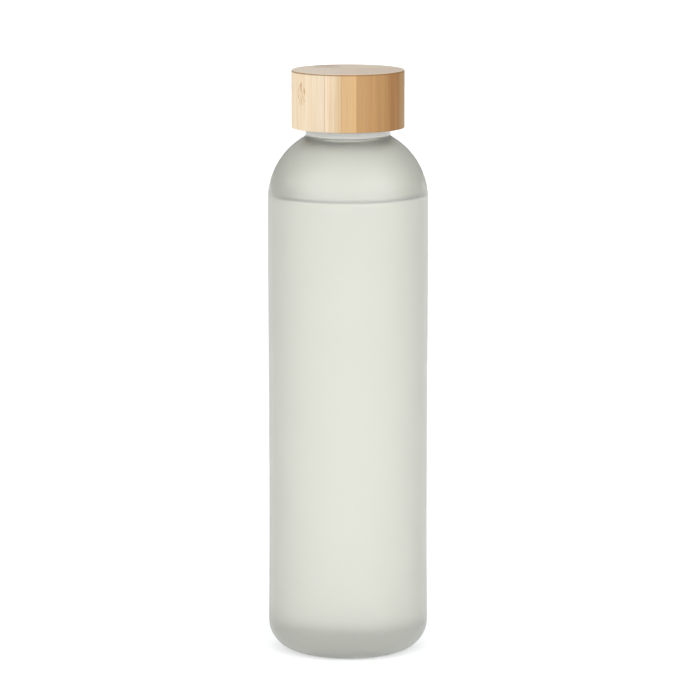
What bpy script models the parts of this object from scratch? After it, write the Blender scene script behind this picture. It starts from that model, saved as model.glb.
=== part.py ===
"""Frosted glass water bottle with a screw-on bamboo lid.

Four pieces, as they come apart on a bench:

- glass_bottle: the blown glass body, with a pushed-up base, a domed shoulder,
  a neck with a carrying bead and a single-start outside thread;
- bamboo_lid: the turned bamboo cap, a cup with its mouth down;
- threaded_insert: the white plastic inner cap glued into the bamboo;
- sealing_ring: the flat silicone washer that lies on the glass rim.

Units are metres, +Z is up, and the origin is the centre of the circle on which
the bottle stands. The lid's pieces are measured from the glass rim and hang on
the empty lid_axis, which lies on the bottle's axis at the height of the rim.
"""

import math

import bmesh
import bpy

MM = 0.001
TURN = 2 * math.pi
SEGMENTS = 48  # facets round every turned shape

# Fit between pieces
TOUCH_GAP = 0.3 * MM  # left between faces that touch on the real object

# Body of the bottle
BODY_RADIUS = 32.5 * MM
WALL = 2.5 * MM
HEEL_RADIUS = 12.0 * MM
BEARING_WIDTH = 2.0 * MM  # flat ring that the bottle stands on
PUSH_UP = 4.5 * MM  # rise of the base at its centre
FLOOR_THICKNESS = 4.0 * MM
FLOOR_SLOPE_FROM = 19.5 * MM  # where the inner floor leaves the inner heel
INNER_HEEL_RADIUS = BODY_RADIUS - WALL - FLOOR_SLOPE_FROM
HEEL_FLOOR = 4.6 * MM  # inner floor at the heel
WAIST_DEPTH = 0.26 * MM  # the blown wall draws in a little above the heel
WAIST_SKEW = 0.62  # under 1 puts the deepest place below the middle

# Shoulder and neck
SHOULDER_HEIGHT = 185.2 * MM  # where the straight wall ends
SHOULDER_RADIUS = 29.5 * MM
NECK_RADIUS = 17.2 * MM
NECK_FILLET = 1.2 * MM
BORE_RADIUS = 14.2 * MM
RIM_HEIGHT = 229.4 * MM
RIM_ROUND = 0.9 * MM
BEAD_HEIGHT = 216.4 * MM  # middle of the carrying bead under the thread
BEAD_HALF_HEIGHT = 1.0 * MM
BEAD_RADIUS = 18.4 * MM

# Thread: one start, right-handed
PITCH = 4.23 * MM
THREAD_ROOT_SINK = 0.5 * MM  # how far a ridge reaches into the wall that bears it
THREAD_STEPS_PER_TURN = 30
RUN_OUT_TURNS = 0.08  # over which a ridge grows from nothing at each end
GLASS_THREAD_START = 219.6 * MM  # height of the ridge's middle at its lower end
GLASS_THREAD_TURNS = 1.6
GLASS_THREAD_RADIUS = 18.5 * MM
GLASS_THREAD_BASE = 2.2 * MM  # ridge width at the neck
GLASS_THREAD_CREST = 0.8 * MM
INSERT_THREAD_FROM = 0.15  # turns above the glass thread's start
INSERT_THREAD_TURNS = 1.4
INSERT_THREAD_RADIUS = 17.7 * MM
INSERT_THREAD_BASE = 1.7 * MM
INSERT_THREAD_CREST = 0.7 * MM
INSERT_THREAD_DROP = 1.55 * MM  # the insert's ridge bears on the glass ridge from below

# Lid, from the rim
LID_BOTTOM = -14.9 * MM
LID_TOP = 8.5 * MM
LID_RADIUS = 22.8 * MM
LID_TOP_ROUND = 0.5 * MM
LID_BOTTOM_ROUND = 0.3 * MM
LID_CROWN = 4.4 * MM  # bamboo above the socket
SEAL_THICKNESS = 1.8 * MM
SEAL_OUTER = 18.5 * MM
SEAL_INNER = 13.3 * MM
SEAL_ROUND = 0.3 * MM
INSERT_BOTTOM = -14.1 * MM
INSERT_INNER = 18.9 * MM
INSERT_OUTER = 20.35 * MM
INSERT_ROUND = 0.5 * MM
INSERT_DISC_UNDER = SEAL_THICKNESS + 2 * TOUCH_GAP  # underside of the insert's disc
INSERT_DISC_TOP = LID_TOP - LID_CROWN - TOUCH_GAP
LOCATOR_OUTER = 12.9 * MM  # ring that centres the washer
LOCATOR_INNER = 11.7 * MM
LOCATOR_DEPTH = 2.0 * MM
SOCKET_RADIUS = INSERT_OUTER + TOUCH_GAP


def clear_scene():
    """Remove every object, so that only the bottle is left at the end."""
    for existing in list(bpy.data.objects):
        bpy.data.objects.remove(existing)


def arc(centre, radius, start_deg, end_deg, steps):
    """Points (radius, height) along an arc; 0 degrees points outwards, 90 up."""
    points = []
    for step in range(steps + 1):
        angle = math.radians(start_deg + (end_deg - start_deg) * step / steps)
        points.append((centre[0] + radius * math.cos(angle), centre[1] + radius * math.sin(angle)))
    return points


def swell(edge_radius, edge_height, middle_height, steps):
    """A smooth rise from a ring at edge_radius to the axis, as points from the axis outwards."""
    points = []
    for step in range(steps + 1):
        share = step / steps
        rise = (middle_height - edge_height) * (1 + math.cos(math.pi * share)) / 2
        points.append((edge_radius * share, edge_height + rise))
    return points


def waisted_wall(low, high, steps):
    """The outside of the straight wall, drawn in by WAIST_DEPTH, without its two ends."""
    points = []
    for step in range(1, steps):
        share = step / steps
        draw_in = WAIST_DEPTH * math.sin(math.pi * share**WAIST_SKEW) ** 2
        points.append((BODY_RADIUS - draw_in, low + (high - low) * share))
    return points


def new_material(name, colour, roughness, transmission=0.0):
    """A Principled material with a plain linear colour."""
    material = bpy.data.materials.new(name)
    material.use_nodes = True
    shader = material.node_tree.nodes["Principled BSDF"]
    shader.inputs["Base Color"].default_value = (*colour, 1.0)
    shader.inputs["Roughness"].default_value = roughness
    shader.inputs["Metallic"].default_value = 0.0
    shader.inputs["Transmission Weight"].default_value = transmission
    return material


def object_from(work, name, material):
    """Link a bmesh as an object, with its faces pointing out and its rounds shaded smooth."""
    bmesh.ops.recalc_face_normals(work, faces=work.faces)
    mesh = bpy.data.meshes.new(name)
    work.to_mesh(mesh)
    work.free()
    mesh.shade_smooth()
    mesh.set_sharp_from_angle(angle=math.radians(35))
    made = bpy.data.objects.new(name, mesh)
    bpy.context.scene.collection.objects.link(made)
    if material is not None:
        mesh.materials.append(material)
    return made


def turned(name, outline, material, closed):
    """Spin an outline of (radius, height) points about Z.

    An open outline starts and ends on the axis; a closed one makes a ring.
    """
    work = bmesh.new()
    corners = [work.verts.new((radius, 0.0, height)) for radius, height in outline]
    edges = [work.edges.new(pair) for pair in zip(corners, corners[1:])]
    if closed:
        edges.append(work.edges.new((corners[-1], corners[0])))
    bmesh.ops.spin(
        work,
        geom=corners + edges,
        cent=(0.0, 0.0, 0.0),
        axis=(0.0, 0.0, 1.0),
        angle=TURN,
        steps=SEGMENTS,
        use_merge=True,
    )
    bmesh.ops.remove_doubles(work, verts=work.verts, dist=0.001 * MM)
    return object_from(work, name, material)


def helical_ridge(name, first_height, first_turn, turns, base_radius, crest_radius, base, crest):
    """A closed thread ridge that climbs with PITCH and fades out at both ends.

    base_radius lies inside the wall that bears it, crest_radius is the ridge's free edge.
    """
    work = bmesh.new()
    steps = round(turns * THREAD_STEPS_PER_TURN)
    wall_side = 1 if base_radius > crest_radius else -1
    sunk_radius = base_radius + wall_side * THREAD_ROOT_SINK
    rings = []
    for step in range(steps + 1):
        climbed = turns * step / steps
        to_end = min(climbed, turns - climbed)
        grown = 0.08 + 0.92 * min(1.0, to_end / RUN_OUT_TURNS)
        angle = TURN * (first_turn + climbed)
        height = first_height + PITCH * climbed
        edge = base_radius + (crest_radius - base_radius) * grown
        section = (
            (sunk_radius, -base * grown / 2),
            (edge, -crest * grown / 2),
            (edge, crest * grown / 2),
            (sunk_radius, base * grown / 2),
        )
        rings.append(
            [
                work.verts.new((radius * math.cos(angle), radius * math.sin(angle), height + rise))
                for radius, rise in section
            ]
        )
    for lower, upper in zip(rings, rings[1:]):
        for corner in range(4):
            after = (corner + 1) % 4
            work.faces.new((lower[corner], lower[after], upper[after], upper[corner]))
    work.faces.new(rings[0])
    work.faces.new(rings[-1])
    ridge = object_from(work, name, None)
    ridge.hide_render = True
    ridge.display_type = "WIRE"
    return ridge


def join_ridge(bearer, ridge):
    """Union a thread ridge with the piece that bears it."""
    modifier = bearer.modifiers.new("thread", "BOOLEAN")
    modifier.operation = "UNION"
    modifier.solver = "EXACT"
    modifier.object = ridge


def bottle_outline():
    """The glass wall's section, from the base's centre round the outside to the inner floor."""
    bearing_outer = BODY_RADIUS - HEEL_RADIUS
    shoulder_centre = (BODY_RADIUS - SHOULDER_RADIUS, SHOULDER_HEIGHT)
    # The shoulder's arc is rounded into the neck by a fillet outside both.
    fillet_radius = NECK_RADIUS + NECK_FILLET
    reach = math.acos((fillet_radius - shoulder_centre[0]) / (SHOULDER_RADIUS + NECK_FILLET))
    fillet_height = SHOULDER_HEIGHT + (SHOULDER_RADIUS + NECK_FILLET) * math.sin(reach)
    inner_radius = SHOULDER_RADIUS - WALL
    inner_reach = math.acos((BORE_RADIUS - shoulder_centre[0]) / inner_radius)
    outline = swell(bearing_outer - BEARING_WIDTH, 0.0, PUSH_UP, 6)
    outline += arc((bearing_outer, HEEL_RADIUS), HEEL_RADIUS, -90, 0, 8)
    outline += waisted_wall(HEEL_RADIUS, SHOULDER_HEIGHT, 8)
    outline += arc(shoulder_centre, SHOULDER_RADIUS, 0, math.degrees(reach), 12)
    outline += arc((fillet_radius, fillet_height), NECK_FILLET, 180 + math.degrees(reach), 180, 3)[1:]
    outline += bead_outline()
    outline += arc((NECK_RADIUS - RIM_ROUND, RIM_HEIGHT - RIM_ROUND), RIM_ROUND, 0, 90, 3)
    outline += arc((BORE_RADIUS + RIM_ROUND, RIM_HEIGHT - RIM_ROUND), RIM_ROUND, 90, 180, 3)
    outline += arc(shoulder_centre, inner_radius, math.degrees(inner_reach), 0, 9)
    inner_heel_centre = (FLOOR_SLOPE_FROM, HEEL_FLOOR + INNER_HEEL_RADIUS)
    outline += arc(inner_heel_centre, INNER_HEEL_RADIUS, 0, -90, 7)
    outline += swell(FLOOR_SLOPE_FROM, HEEL_FLOOR, PUSH_UP + FLOOR_THICKNESS, 5)[-2::-1]
    return outline


def bead_outline():
    """The carrying bead: a rounded ring that stands out of the neck under the lid's edge."""
    stand_out = BEAD_RADIUS - NECK_RADIUS
    points = []
    for share in (-1.0, -0.6, 0.0, 0.6, 1.0):
        bulge = stand_out * math.sqrt(1 - share * share)
        points.append((NECK_RADIUS + bulge, BEAD_HEIGHT + BEAD_HALF_HEIGHT * share))
    return points


def make_bottle(material):
    """The glass body with its thread."""
    bottle = turned("glass_bottle", bottle_outline(), material, closed=False)
    ridge = helical_ridge(
        "glass_thread_ridge",
        GLASS_THREAD_START,
        0.0,
        GLASS_THREAD_TURNS,
        NECK_RADIUS,
        GLASS_THREAD_RADIUS,
        GLASS_THREAD_BASE,
        GLASS_THREAD_CREST,
    )
    join_ridge(bottle, ridge)
    return bottle


def make_bamboo_lid(material):
    """The turned bamboo cup, with a blind socket for the insert."""
    bottom = LID_BOTTOM + LID_BOTTOM_ROUND
    top = LID_TOP - LID_TOP_ROUND
    outline = [(0.0, LID_TOP - LID_CROWN), (SOCKET_RADIUS, LID_TOP - LID_CROWN)]
    outline += arc((SOCKET_RADIUS + LID_BOTTOM_ROUND, bottom), LID_BOTTOM_ROUND, 180, 270, 2)
    outline += arc((LID_RADIUS - LID_BOTTOM_ROUND, bottom), LID_BOTTOM_ROUND, 270, 360, 2)
    outline += arc((LID_RADIUS - LID_TOP_ROUND, top), LID_TOP_ROUND, 0, 90, 4)
    outline += [(0.0, LID_TOP)]
    return turned("bamboo_lid", outline, material, closed=False)


def make_insert(material):
    """The plastic inner cap: a disc, a threaded skirt and the ring that centres the washer."""
    locator_bottom = INSERT_DISC_UNDER - LOCATOR_DEPTH
    outline = [
        (0.0, INSERT_DISC_UNDER),
        (LOCATOR_INNER, INSERT_DISC_UNDER),
        (LOCATOR_INNER, locator_bottom),
        (LOCATOR_OUTER, locator_bottom),
        (LOCATOR_OUTER, INSERT_DISC_UNDER),
        (INSERT_INNER, INSERT_DISC_UNDER),
        (INSERT_INNER, INSERT_BOTTOM),
        (INSERT_OUTER, INSERT_BOTTOM),
    ]
    corner = (INSERT_OUTER - INSERT_ROUND, INSERT_DISC_TOP - INSERT_ROUND)
    outline += arc(corner, INSERT_ROUND, 0, 90, 3)
    outline += [(0.0, INSERT_DISC_TOP)]
    insert = turned("threaded_insert", outline, material, closed=False)
    first_height = (
        GLASS_THREAD_START + PITCH * INSERT_THREAD_FROM - INSERT_THREAD_DROP - RIM_HEIGHT
    )
    ridge = helical_ridge(
        "insert_thread_ridge",
        first_height,
        INSERT_THREAD_FROM,
        INSERT_THREAD_TURNS,
        INSERT_INNER,
        INSERT_THREAD_RADIUS,
        INSERT_THREAD_BASE,
        INSERT_THREAD_CREST,
    )
    join_ridge(insert, ridge)
    return insert, ridge


def make_sealing_ring(material):
    """The silicone washer between the glass rim and the insert's disc."""
    low, high = TOUCH_GAP, TOUCH_GAP + SEAL_THICKNESS
    outline = []
    for corner, start in (
        ((SEAL_OUTER - SEAL_ROUND, low + SEAL_ROUND), -90),
        ((SEAL_OUTER - SEAL_ROUND, high - SEAL_ROUND), 0),
        ((SEAL_INNER + SEAL_ROUND, high - SEAL_ROUND), 90),
        ((SEAL_INNER + SEAL_ROUND, low + SEAL_ROUND), 180),
    ):
        outline += arc(corner, SEAL_ROUND, start, start + 90, 2)
    return turned("sealing_ring", outline, material, closed=True)


def make_lid_axis(pieces):
    """Hang the lid's pieces on one empty, on the axis about which the lid turns."""
    lid_axis = bpy.data.objects.new("lid_axis", None)
    lid_axis.location = (0.0, 0.0, RIM_HEIGHT)
    bpy.context.scene.collection.objects.link(lid_axis)
    for piece in pieces:
        piece.parent = lid_axis


def main():
    """Build the bottle with its lid screwed down."""
    clear_scene()
    frosted_glass = new_material("frosted_glass", (0.72, 0.75, 0.66), 0.5, transmission=0.8)
    bamboo = new_material("bamboo", (0.62, 0.40, 0.19), 0.55)
    white_plastic = new_material("white_polypropylene", (0.80, 0.80, 0.78), 0.35)
    silicone = new_material("clear_silicone", (0.70, 0.71, 0.69), 0.45)
    make_bottle(frosted_glass)
    insert, ridge = make_insert(white_plastic)
    lid = make_bamboo_lid(bamboo)
    washer = make_sealing_ring(silicone)
    make_lid_axis((lid, insert, ridge, washer))


main()
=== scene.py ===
"""The looks of a frosted glass water bottle with a bamboo screw lid.

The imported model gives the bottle's sizes and places. Around it this script builds the
fine surfaces: the blown glass with its rounded thread and grooved base, the water that
stands in it, the laminated bamboo lid, the moulded insert with its thread and glue ribs,
and the silicone washer. Lengths are metres, +Z is up and the bottle stands on z = 0.
"""

from __future__ import annotations

import logging
import math
from collections.abc import Callable, Sequence
from dataclasses import dataclass, field
from enum import Enum

import bpy
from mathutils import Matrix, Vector

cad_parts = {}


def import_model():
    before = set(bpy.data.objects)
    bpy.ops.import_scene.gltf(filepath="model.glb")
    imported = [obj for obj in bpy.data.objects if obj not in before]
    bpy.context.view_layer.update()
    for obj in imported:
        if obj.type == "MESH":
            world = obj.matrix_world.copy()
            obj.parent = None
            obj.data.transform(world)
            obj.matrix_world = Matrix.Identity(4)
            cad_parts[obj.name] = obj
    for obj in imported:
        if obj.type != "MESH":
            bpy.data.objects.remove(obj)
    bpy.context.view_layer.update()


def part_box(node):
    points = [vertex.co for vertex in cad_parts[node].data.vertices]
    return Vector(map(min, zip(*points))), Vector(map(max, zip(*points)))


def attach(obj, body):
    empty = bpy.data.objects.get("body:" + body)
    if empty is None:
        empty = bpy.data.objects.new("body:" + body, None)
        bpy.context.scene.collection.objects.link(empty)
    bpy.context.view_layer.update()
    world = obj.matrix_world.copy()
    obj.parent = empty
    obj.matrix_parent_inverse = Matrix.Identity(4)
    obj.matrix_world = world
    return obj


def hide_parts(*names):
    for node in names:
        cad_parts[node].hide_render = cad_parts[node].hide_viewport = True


MM = 0.001
TURN = 2 * math.pi
LOG = logging.getLogger("bottle")

Point = tuple[float, float]  # radius and height of a point on a turned outline
Tree = bpy.types.NodeTree
Socket = bpy.types.NodeSocket
Node = bpy.types.Node
Piece = bpy.types.Object
Material = bpy.types.Material

THREAD_PITCH = 4.23 * MM
THREAD_DROP = 9.8 * MM  # from the rim to the middle of the glass thread's lower end
WALL_TOLERANCE = 0.02 * MM  # within this of a wall's radius a point lies on the wall
ON_AXIS = 1e-7  # a point with a smaller radius lies on the axis


class Body(Enum):
    """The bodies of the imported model, which move against each other."""

    BOTTLE = "bottle"
    SEAL = "seal"
    LID = "lid"


# ---------------------------------------------------------------- nodes and colours


def linear(srgb: str) -> tuple[float, float, float, float]:
    """Turn an sRGB hex colour into the linear values that shaders take.

    Args:
        srgb: Six hex digits with a leading hash, such as "#d9c39a".

    Returns:
        Linear red, green and blue, and an alpha of one.
    """
    channels = [int(srgb[start : start + 2], 16) / 255 for start in (1, 3, 5)]
    bent = [c / 12.92 if c <= 0.04045 else ((c + 0.055) / 1.055) ** 2.4 for c in channels]
    return (bent[0], bent[1], bent[2], 1.0)


def add_node(
    tree: Tree,
    kind: str,
    inputs: dict[str | int, object] | None = None,
    **settings: object,
) -> Node:
    """Add a node with its settings, values and links.

    Args:
        tree: The tree that gets the node.
        kind: The node's type, such as "ShaderNodeMath".
        inputs: For each input, by name or number, its value or the socket that feeds it.
        **settings: The node's own properties, such as operation="ADD".

    Returns:
        The new node.
    """
    node = tree.nodes.new(kind)
    for setting, value in settings.items():
        setattr(node, setting, value)
    for key, value in (inputs or {}).items():
        if isinstance(value, Socket):
            tree.links.new(value, node.inputs[key])
        else:
            node.inputs[key].default_value = value
    return node


def new_material(name: str, values: dict[str, object]) -> tuple[Material, Tree, Node]:
    """Make a material that holds only a Principled shader and the output.

    Args:
        name: The finish's name.
        values: Uniform values for the shader's own inputs.

    Returns:
        The material, its node tree and its Principled node.
    """
    material = bpy.data.materials.new(name)
    material.use_nodes = True
    shader = material.node_tree.nodes["Principled BSDF"]
    for label, value in values.items():
        shader.inputs[label].default_value = value
    return material, material.node_tree, shader


def roughen(
    tree: Tree, shader: Node, width: float, detail: float, strength: float, depth: float
) -> None:
    """Give a shader's surface a fine random relief, fixed to the piece.

    Args:
        tree: The material's tree.
        shader: Its Principled node.
        width: The relief's size across, in metres.
        detail: How much finer noise it holds.
        strength: The bump's strength.
        depth: How deep it is, in metres.
    """
    spot = add_node(tree, "ShaderNodeTexCoord").outputs["Object"]
    noise = {"Vector": spot, "Scale": 1 / width, "Detail": detail}
    relief = add_node(tree, "ShaderNodeTexNoise", noise).outputs[0]
    bend = {"Height": relief, "Strength": strength, "Distance": depth}
    bump = add_node(tree, "ShaderNodeBump", bend)
    tree.links.new(bump.outputs["Normal"], shader.inputs["Normal"])


# ---------------------------------------------------------------- finishes


@dataclass(frozen=True)
class EtchedGlass:
    """Soda-lime glass, blown in a mould and etched in acid on the outside.

    The etch scatters most of the light that passes through and throws some of it back, so
    the bottle looks softly white and shows no sharp reflection. The iron in the glass turns
    long paths through it grey-green, at the heel and along the edges.
    """

    name: str = "etched_glass"
    roughness: float = 0.3
    ior: float = 1.5
    surface: str = "#fcfcf7"
    clear_share: float = 0.81  # what the etch lets through; it scatters the rest back
    kept_colour: str = "#b8c194"  # the colour that light keeps on its way through the glass
    density: float = 62.0  # how strongly the glass takes the rest, per metre
    grain: float = 0.35 * MM  # width of the etch's pits, drawn coarser than the real 0.05 mm
    grain_depth: float = 0.003 * MM

    def material(self) -> Material:
        """Return the glass."""
        values = {
            "Base Color": linear(self.surface),
            "Roughness": self.roughness,
            "IOR": self.ior,
            "Transmission Weight": self.clear_share,
        }
        material, tree, shader = new_material(self.name, values)
        if self.grain_depth > 0:
            roughen(tree, shader, self.grain, 2.0, 1.0, self.grain_depth)
        body = add_node(
            tree,
            "ShaderNodeVolumeAbsorption",
            {"Color": linear(self.kept_colour), "Density": self.density},
        )
        tree.links.new(body.outputs["Volume"], tree.nodes["Material Output"].inputs["Volume"])
        return material


@dataclass(frozen=True)
class Water:
    """Clean still water: clear, and it bends light less than glass does."""

    name: str = "water"
    ior: float = 1.333
    surface: str = "#ffffff"

    def material(self) -> Material:
        """Return the water's material."""
        values = {
            "Base Color": linear(self.surface),
            "Roughness": 0.0,
            "IOR": self.ior,
            "Transmission Weight": 1.0,
        }
        return new_material(self.name, values)[0]


@dataclass(frozen=True)
class BambooStrip:
    """One glued strip of the lid, as far as the joint on its right."""

    ends_at: float  # x of its right-hand glue joint, in metres
    near_tone: str  # sRGB hex of its clean wood at the left
    far_tone: str  # and at the right


@dataclass(frozen=True)
class Knuckle:
    """A trace of the cane's joint: a small patch of short dark dashes."""

    centre: tuple[float, float, float]
    reach: tuple[float, float, float]  # half sizes


@dataclass(frozen=True)
class LaminatedBamboo:
    """Bamboo strips glued side by side in two rows, turned with the fibres upright.

    Each strip keeps its own tone, from cream to honey, and a thin dark line shows the glue
    between two. Fibre bundles run up the side as fine streaks and end on the top as dots.
    Sanding and oil leave a dull sheen.
    """

    top: float
    half_width: float
    front_row: tuple[BambooStrip, ...]
    back_row: tuple[BambooStrip, ...]
    knuckles: tuple[Knuckle, ...]
    row_joint: float = 6.0 * MM  # y of the joint between the rows
    glue_width: float = 0.16 * MM
    glue_shade: str = "#8f6a3c"
    name: str = "laminated_bamboo"
    fibre_spacing: float = 0.42 * MM
    fibre_run: float = 26.0 * MM  # length over which a fibre's tone changes
    streak_width: float = 1.6 * MM
    fibre_limits: tuple[float, float] = (0.5, 0.75)  # of the noise, from clean to darkest
    fibre_share: float = 0.32
    fibre_depth: float = 0.05 * MM
    fibre_shade: str = "#8f6233"
    streak_limits: tuple[float, float] = (0.42, 0.75)
    streak_share: float = 0.3
    streak_shade: str = "#b98a4c"
    dash_shade: str = "#a86f33"
    dash_spacing: float = 0.45 * MM
    dash_length: float = 2.6 * MM
    dash_limits: tuple[float, float] = (0.5, 0.62)
    dash_share: float = 0.75
    bend_width: float = 9.0 * MM  # over which a glue joint wanders
    bend: float = 0.35 * MM  # and how far
    end_grain: str = "#dbcfbf"
    end_grain_share: float = 0.75
    end_grain_drop: tuple[float, float] = (0.25 * MM, 0.05 * MM)  # below the top: none, full
    # painted shade: a thin dark band round the eased top edge, all the way round
    painted_edge_shade: str = "#735226"
    painted_edge_share: float = 0.85
    painted_edge_drop: float = 0.45 * MM  # from the top to the middle of its eased edge
    painted_edge_core: float = 0.1 * MM  # within this of its middle the painted shade is darkest
    roughness: float = 0.55

    def material(self) -> Material:
        """Return the bamboo's material."""
        material, tree, shader = new_material(self.name, {"Roughness": self.roughness})
        spot = add_node(tree, "ShaderNodeTexCoord").outputs["Object"]
        axes = add_node(tree, "ShaderNodeSeparateXYZ", {"Vector": spot})
        fibres = self.stretched_noise(tree, spot, self.fibre_spacing, self.fibre_run, 3.0)
        wood = self.strips(tree, spot, axes)
        wood = self.streaked(tree, spot, wood)
        wood = self.shaded(
            tree, fibres, self.fibre_limits, self.fibre_share, wood, self.fibre_shade
        )
        wood = self.paint_edge_shade(tree, axes, wood)
        on_top = (self.top - self.end_grain_drop[0], self.top - self.end_grain_drop[1])
        wood = self.shaded(
            tree, axes.outputs["Z"], on_top, self.end_grain_share, wood, self.end_grain
        )
        wood = self.knuckled(tree, spot, wood)
        tree.links.new(wood, shader.inputs["Base Color"])
        relief = {"Height": fibres, "Strength": 0.6, "Distance": self.fibre_depth}
        bump = add_node(tree, "ShaderNodeBump", relief)
        tree.links.new(bump.outputs["Normal"], shader.inputs["Normal"])
        return material

    def stretched_noise(
        self,
        tree: Tree,
        spot: Socket,
        width: float,
        length: float,
        detail: float,
    ) -> Socket:
        """Make noise that is narrow across the fibres and long along them.

        Args:
            tree: The material's tree.
            spot: The object coordinates.
            width: Its size across, in metres.
            length: Its size along Z.
            detail: How much finer noise it holds.

        Returns:
            The noise, about 0.5 on average.
        """
        scale = (1 / width, 1 / width, 1 / length)
        drawn_out = add_node(tree, "ShaderNodeMapping", {"Vector": spot, "Scale": scale})
        noise = add_node(
            tree,
            "ShaderNodeTexNoise",
            {"Vector": drawn_out.outputs["Vector"], "Scale": 1.0, "Detail": detail},
        )
        return noise.outputs[0]

    def shaded(
        self,
        tree: Tree,
        measure: Socket,
        limits: tuple[float, float],
        most: float,
        wood: Socket,
        shade: str,
    ) -> Socket:
        """Mix a shade into the wood where a measure is high.

        Args:
            tree: The material's tree.
            measure: The measure.
            limits: Where the shade starts, and where it is strongest.
            most: Its strongest share.
            wood: The wood's colour so far.
            shade: The shade, as sRGB hex.

        Returns:
            The wood's new colour.
        """
        share = add_node(
            tree,
            "ShaderNodeMapRange",
            {"Value": measure, "From Min": limits[0], "From Max": limits[1], "To Max": most},
        )
        mixed = add_node(
            tree,
            "ShaderNodeMix",
            {"Factor": share.outputs["Result"], "A": wood, "B": linear(shade)},
            data_type="RGBA",
        )
        return mixed.outputs["Result"]

    def row_ramp(
        self, tree: Tree, across: Socket, row: Sequence[BambooStrip]
    ) -> Socket:
        """Colour a row of strips and the glue lines between them with a ramp.

        Args:
            tree: The material's tree.
            across: The place across the lid, from 0 at its left to 1 at its right.
            row: The strips from left to right.

        Returns:
            The row's colour.
        """
        ramp = add_node(tree, "ShaderNodeValToRGB", {"Fac": across})
        stops = ramp.color_ramp.elements
        stops.remove(stops[1])
        stops[0].position = 0.0
        stops[0].color = linear(row[0].near_tone)
        half_line = self.glue_width / (4 * self.half_width)
        for strip, after in zip(row, row[1:]):
            joint = 0.5 + strip.ends_at / (2 * self.half_width)
            stops.new(joint - half_line).color = linear(strip.far_tone)
            stops.new(joint).color = linear(self.glue_shade)
            stops.new(joint + half_line).color = linear(after.near_tone)
        stops.new(1.0).color = linear(row[-1].far_tone)
        return ramp.outputs["Color"]

    def strips(
        self, tree: Tree, spot: Socket, axes: Node
    ) -> Socket:
        """Colour both rows of strips.

        Args:
            tree: The material's tree.
            spot: The object coordinates.
            axes: The same, split.

        Returns:
            The strips' clean colour.
        """
        wander = add_node(
            tree, "ShaderNodeTexNoise", {"Vector": spot, "Scale": 1 / self.bend_width}
        )
        bent_x = add_node(
            tree,
            "ShaderNodeMath",
            {0: wander.outputs[0], 1: self.bend, 2: axes.outputs["X"]},
            operation="MULTIPLY_ADD",
        )
        across = add_node(
            tree,
            "ShaderNodeMapRange",
            {"Value": bent_x.outputs[0], "From Min": -self.half_width, "From Max": self.half_width},
        )
        in_back = add_node(
            tree,
            "ShaderNodeMath",
            {0: axes.outputs["Y"], 1: self.row_joint},
            operation="GREATER_THAN",
        )
        rows = add_node(
            tree,
            "ShaderNodeMix",
            {
                "Factor": in_back.outputs[0],
                "A": self.row_ramp(tree, across.outputs["Result"], self.front_row),
                "B": self.row_ramp(tree, across.outputs["Result"], self.back_row),
            },
            data_type="RGBA",
        )
        return rows.outputs["Result"]

    def streaked(
        self, tree: Tree, spot: Socket, wood: Socket
    ) -> Socket:
        """Add wide soft streaks.

        Args:
            tree: The material's tree.
            spot: The object coordinates.
            wood: The wood's colour so far.

        Returns:
            The wood's new colour.
        """
        streaks = self.stretched_noise(tree, spot, self.streak_width, 3 * self.fibre_run, 2.0)
        return self.shaded(
            tree, streaks, self.streak_limits, self.streak_share, wood, self.streak_shade
        )

    def paint_edge_shade(
        self, tree: Tree, axes: Node, wood: Socket
    ) -> Socket:
        """Darken the eased edge round the top with painted shade, a thin dark band all round.

        Args:
            tree: The material's tree.
            axes: The object coordinates, split.
            wood: The wood's colour so far.

        Returns:
            The wood's new colour.
        """
        above = add_node(
            tree,
            "ShaderNodeMath",
            {0: axes.outputs["Z"], 1: self.top - self.painted_edge_drop},
            operation="SUBTRACT",
        )
        off = add_node(tree, "ShaderNodeMath", {0: above.outputs[0]}, operation="ABSOLUTE")
        limits = (self.painted_edge_drop, self.painted_edge_core)
        return self.shaded(tree, off.outputs[0], limits, self.painted_edge_share, wood, self.painted_edge_shade)

    def knuckled(
        self, tree: Tree, spot: Socket, wood: Socket
    ) -> Socket:
        """Add the dashes of every knuckle.

        Args:
            tree: The material's tree.
            spot: The object coordinates.
            wood: The wood's colour so far.

        Returns:
            The wood's new colour.
        """
        dashes = self.stretched_noise(tree, spot, self.dash_spacing, self.dash_length, 1.0)
        for knuckle in self.knuckles:
            from_centre = add_node(
                tree,
                "ShaderNodeVectorMath",
                {0: spot, 1: knuckle.centre},
                operation="SUBTRACT",
            )
            in_reaches = add_node(
                tree,
                "ShaderNodeVectorMath",
                {0: from_centre.outputs[0], 1: knuckle.reach},
                operation="DIVIDE",
            )
            away = add_node(
                tree, "ShaderNodeVectorMath", {0: in_reaches.outputs[0]}, operation="LENGTH"
            )
            inside = add_node(
                tree,
                "ShaderNodeMapRange",
                {"Value": away.outputs["Value"], "From Min": 1.0, "From Max": 0.6},
            )
            dashed = add_node(
                tree,
                "ShaderNodeMath",
                {0: inside.outputs["Result"], 1: dashes},
                operation="MULTIPLY",
            )
            wood = self.shaded(
                tree, dashed.outputs[0], self.dash_limits, self.dash_share, wood, self.dash_shade
            )
        return wood


@dataclass(frozen=True)
class MouldedPolypropylene:
    """White polypropylene, injection moulded: milky, with the mould's fine satin texture."""

    name: str = "white_polypropylene"
    tone: str = "#f1f0ec"
    roughness: float = 0.38
    texture: float = 0.4 * MM  # drawn coarser than a mould's fine satin
    texture_depth: float = 0.01 * MM
    milkiness: float = 0.15  # share of light that goes under the surface
    milk_depth: float = 1.0 * MM

    def material(self) -> Material:
        """Return the insert's material."""
        values = {
            "Base Color": linear(self.tone),
            "Roughness": self.roughness,
            "Subsurface Weight": self.milkiness,
            "Subsurface Scale": self.milk_depth,
        }
        material, tree, shader = new_material(self.name, values)
        roughen(tree, shader, self.texture, 1.0, 0.5, self.texture_depth)
        return material


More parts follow.
